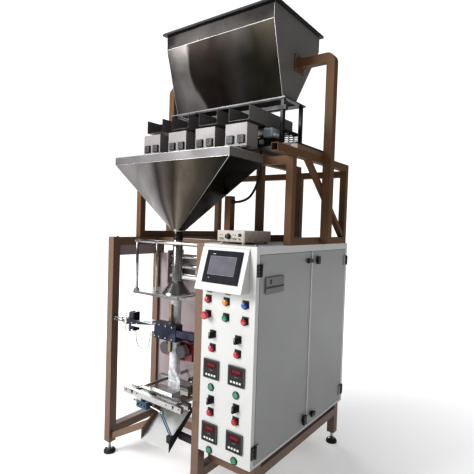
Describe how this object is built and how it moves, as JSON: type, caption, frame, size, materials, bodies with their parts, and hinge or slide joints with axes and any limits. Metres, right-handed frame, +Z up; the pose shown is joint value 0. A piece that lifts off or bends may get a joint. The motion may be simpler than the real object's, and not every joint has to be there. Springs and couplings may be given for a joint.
{
  "type": "vertical form fill sealer",
  "caption": "Vertical form fill seal bagging machine with a feed hopper, linear weigher, collecting funnel, forming tube, sealing jaws and a control cabinet.",
  "frame": {"origin": "on the floor at the middle of the machine's overall footprint, under the forming bay", "axes": "+X to the right as the operator faces the machine, +Y from the operator to the rear, +Z up"},
  "size_m": [1.33, 1.1539, 2.7],
  "materials": {
    "frame_paint": "satin tan-brown paint",
    "cabinet_paint": "fine-textured off-white powder coat",
    "grey_paint": "satin grey paint",
    "beige_paint": "satin beige paint",
    "gear_grey": "moulded grey electrical parts",
    "black_steel": "black paint",
    "dark_metal": "dark anodised and painted parts",
    "stainless": "bright rolled stainless sheet",
    "stainless_dull": "matt stainless sheet",
    "polished_steel": "ground and polished steel",
    "chromed": "chromed bar",
    "brass_bar": "machined brass",
    "aluminium_part": "machined aluminium",
    "motor_red": "gloss red motor enamel",
    "black_plastic": "moulded black plastic",
    "lamp_red": "red lens",
    "button_green": "green cap",
    "rubber_black": "black rubber",
    "cable_black": "black cable sheath",
    "hose_clear": "clear hose",
    "film": "clear laminate film"
  },
  "bodies": {
    "machine": {"air_hose": "hose_clear", "button_bezels": "black_plastic", "cabinet_panels": "cabinet_paint", "collar_hangers": "chromed", "collection_funnel": "stainless", "control_gear": "gear_grey", "discharge_chute": "cabinet_paint", "door_hinges": "black_plastic", "feeder_cable": "cable_black", "film_tube": "film", "forming_collar": "stainless", "forming_tube": "polished_steel", "front_panel": "cabinet_paint", "hopper": "stainless", "hopper_gantry": "frame_paint", "jaw_guides": "polished_steel", "leveling_feet": "rubber_black", "main_frame": "frame_paint", "mechanism_plate": "grey_paint", "pilot_lamps": "lamp_red", "pull_motors": "motor_red", "reel_stand": "frame_paint", "temperature_controllers": "black_plastic", "touch_console": "cabinet_paint", "touch_screen": "black_plastic", "upper_frame": "frame_paint", "vertical_seal_unit": "dark_metal", "vibrator_bases": "black_steel", "weigh_buckets": "stainless_dull", "weigher_controller": "beige_paint"},
    "front_door": {"front_door": "cabinet_paint"},
    "rear_door": {"rear_door": "cabinet_paint"},
    "front_upper_latch": {"front_upper_latch": "black_plastic"},
    "front_lower_latch": {"front_lower_latch": "black_plastic"},
    "rear_upper_latch": {"rear_upper_latch": "black_plastic"},
    "rear_lower_latch": {"rear_lower_latch": "black_plastic"},
    "emergency_stop": {"emergency_stop": "lamp_red"},
    "start_button": {"start_button": "button_green"},
    "stop_button": {"stop_button": "lamp_red"},
    "heater_switch_1": {"heater_switch_1": "black_plastic"},
    "heater_switch_2": {"heater_switch_2": "black_plastic"},
    "heater_switch_3": {"heater_switch_3": "black_plastic"},
    "heater_switch_4": {"heater_switch_4": "black_plastic"},
    "controller_dial": {"controller_dial": "black_plastic"},
    "front_jaw": {"front_jaw": "polished_steel"},
    "rear_jaw": {"rear_jaw": "polished_steel"},
    "cutter_knife": {"cutter_knife": "stainless"},
    "vertical_seal_bar": {"vertical_seal_bar": "brass_bar"},
    "left_pull_roller": {"left_pull_roller": "polished_steel"},
    "right_pull_roller": {"right_pull_roller": "polished_steel"},
    "film_roll": {"film_roll": "film"},
    "upper_guide_roller": {"upper_guide_roller": "chromed"},
    "lower_guide_roller": {"lower_guide_roller": "chromed"},
    "dancer_arm": {"dancer_arm": "aluminium_part"},
    "bucket_flap_1": {"bucket_flap_1": "stainless_dull"},
    "bucket_flap_2": {"bucket_flap_2": "stainless_dull"},
    "bucket_flap_3": {"bucket_flap_3": "stainless_dull"},
    "bucket_flap_4": {"bucket_flap_4": "stainless_dull"},
    "vibrator_pans": {"vibrator_pans": "stainless_dull"}
  },
  "joints": [
    {"name": "front_door_hinge", "type": "hinge", "parent": "machine", "child": "front_door", "pos_m": [0.623, -0.48, 0.8], "axis": [0, 0, -1], "range_deg": [0, 120]},
    {"name": "rear_door_hinge", "type": "hinge", "parent": "machine", "child": "rear_door", "pos_m": [0.623, 0.536, 0.8], "axis": [0, 0, 1], "range_deg": [0, 120]},
    {"name": "front_upper_latch_turn", "type": "hinge", "parent": "front_door", "child": "front_upper_latch", "pos_m": [0.615, 0.014, 1.255], "axis": [1, 0, 0], "range_deg": [0, 90]},
    {"name": "front_lower_latch_turn", "type": "hinge", "parent": "front_door", "child": "front_lower_latch", "pos_m": [0.615, 0.014, 0.352], "axis": [1, 0, 0], "range_deg": [0, 90]},
    {"name": "rear_upper_latch_turn", "type": "hinge", "parent": "rear_door", "child": "rear_upper_latch", "pos_m": [0.615, 0.118, 1.255], "axis": [1, 0, 0], "range_deg": [0, 90]},
    {"name": "rear_lower_latch_turn", "type": "hinge", "parent": "rear_door", "child": "rear_lower_latch", "pos_m": [0.615, 0.118, 0.352], "axis": [1, 0, 0], "range_deg": [0, 90]},
    {"name": "emergency_stop_press", "type": "slide", "parent": "machine", "child": "emergency_stop", "axis": [0, 1, 0], "range_m": [0, 0.005], "stiffness_N_per_m": 400},
    {"name": "start_button_press", "type": "slide", "parent": "machine", "child": "start_button", "axis": [0, 1, 0], "range_m": [0, 0.004], "stiffness_N_per_m": 400},
    {"name": "stop_button_press", "type": "slide", "parent": "machine", "child": "stop_button", "axis": [0, 1, 0], "range_m": [0, 0.004], "stiffness_N_per_m": 400},
    {"name": "heater_switch_1_turn", "type": "hinge", "parent": "machine", "child": "heater_switch_1", "pos_m": [0.365, -0.51, 0.893], "axis": [0, 1, 0], "range_deg": [-45, 45]},
    {"name": "heater_switch_2_turn", "type": "hinge", "parent": "machine", "child": "heater_switch_2", "pos_m": [0.521, -0.51, 0.893], "axis": [0, 1, 0], "range_deg": [-45, 45]},
    {"name": "heater_switch_3_turn", "type": "hinge", "parent": "machine", "child": "heater_switch_3", "pos_m": [0.365, -0.51, 0.562], "axis": [0, 1, 0], "range_deg": [-45, 45]},
    {"name": "heater_switch_4_turn", "type": "hinge", "parent": "machine", "child": "heater_switch_4", "pos_m": [0.521, -0.51, 0.562], "axis": [0, 1, 0], "range_deg": [-45, 45]},
    {"name": "controller_dial_turn", "type": "hinge", "parent": "machine", "child": "controller_dial", "pos_m": [0.368, -0.41, 1.384], "axis": [0, 1, 0], "range_deg": [-150, 150]},
    {"name": "rear_jaw_slide", "type": "slide", "parent": "machine", "child": "rear_jaw", "axis": [0, -1, 0], "range_m": [0, 0.0285]},
    {"name": "front_jaw_slide", "type": "slide", "parent": "machine", "child": "front_jaw", "axis": [0, 1, 0], "range_m": [0, 0.0285]},
    {"name": "cutter_slide", "type": "slide", "parent": "front_jaw", "child": "cutter_knife", "axis": [0, 1, 0], "range_m": [0, 0.014]},
    {"name": "vertical_seal_slide", "type": "slide", "parent": "machine", "child": "vertical_seal_bar", "axis": [0, 1, 0], "range_m": [0, 0.005]},
    {"name": "left_pull_roller_spin", "type": "hinge", "parent": "machine", "child": "left_pull_roller", "pos_m": [-0.0638, -0.4, 0.722], "axis": [0, 1, 0], "continuous": true},
    {"name": "right_pull_roller_spin", "type": "hinge", "parent": "machine", "child": "right_pull_roller", "pos_m": [0.0638, -0.4, 0.722], "axis": [0, 1, 0], "continuous": true},
    {"name": "film_roll_spin", "type": "hinge", "parent": "machine", "child": "film_roll", "pos_m": [0, 0.23, 0.52], "axis": [1, 0, 0], "continuous": true},
    {"name": "upper_guide_roller_spin", "type": "hinge", "parent": "machine", "child": "upper_guide_roller", "pos_m": [0, -0.238, 1.238], "axis": [1, 0, 0], "continuous": true},
    {"name": "lower_guide_roller_spin", "type": "hinge", "parent": "machine", "child": "lower_guide_roller", "pos_m": [0, -0.238, 1.18], "axis": [1, 0, 0], "continuous": true},
    {"name": "dancer_arm_swing", "type": "hinge", "parent": "machine", "child": "dancer_arm", "pos_m": [0, -0.145, 1.112], "axis": [1, 0, 0], "range_deg": [-12, 15]},
    {"name": "bucket_flap_1_open", "type": "hinge", "parent": "machine", "child": "bucket_flap_1", "pos_m": [-0.327, -0.214, 1.856], "axis": [1, 0, 0], "range_deg": [0, 60], "stiffness_Nm_per_rad": 2, "springref_deg": -20.05},
    {"name": "bucket_flap_2_open", "type": "hinge", "parent": "machine", "child": "bucket_flap_2", "pos_m": [-0.109, -0.214, 1.856], "axis": [1, 0, 0], "range_deg": [0, 60], "stiffness_Nm_per_rad": 2, "springref_deg": -20.05},
    {"name": "bucket_flap_3_open", "type": "hinge", "parent": "machine", "child": "bucket_flap_3", "pos_m": [0.109, -0.214, 1.856], "axis": [1, 0, 0], "range_deg": [0, 60], "stiffness_Nm_per_rad": 2, "springref_deg": -20.05},
    {"name": "bucket_flap_4_open", "type": "hinge", "parent": "machine", "child": "bucket_flap_4", "pos_m": [0.327, -0.214, 1.856], "axis": [1, 0, 0], "range_deg": [0, 60], "stiffness_Nm_per_rad": 2, "springref_deg": -20.05},
    {"name": "pan_vibration", "type": "slide", "parent": "machine", "child": "vibrator_pans", "axis": [0, -0.9404, 0.3401], "range_m": [-0.001, 0.001], "stiffness_N_per_m": 100000}
  ],
  "couplings": [
    {"joint": "front_jaw_slide", "follows": "rear_jaw_slide", "ratio": 1},
    {"joint": "right_pull_roller_spin", "follows": "left_pull_roller_spin", "ratio": -1},
    {"joint": "film_roll_spin", "follows": "left_pull_roller_spin", "ratio": 0.24286},
    {"joint": "upper_guide_roller_spin", "follows": "left_pull_roller_spin", "ratio": 2.125},
    {"joint": "lower_guide_roller_spin", "follows": "left_pull_roller_spin", "ratio": -2.125}
  ]
}
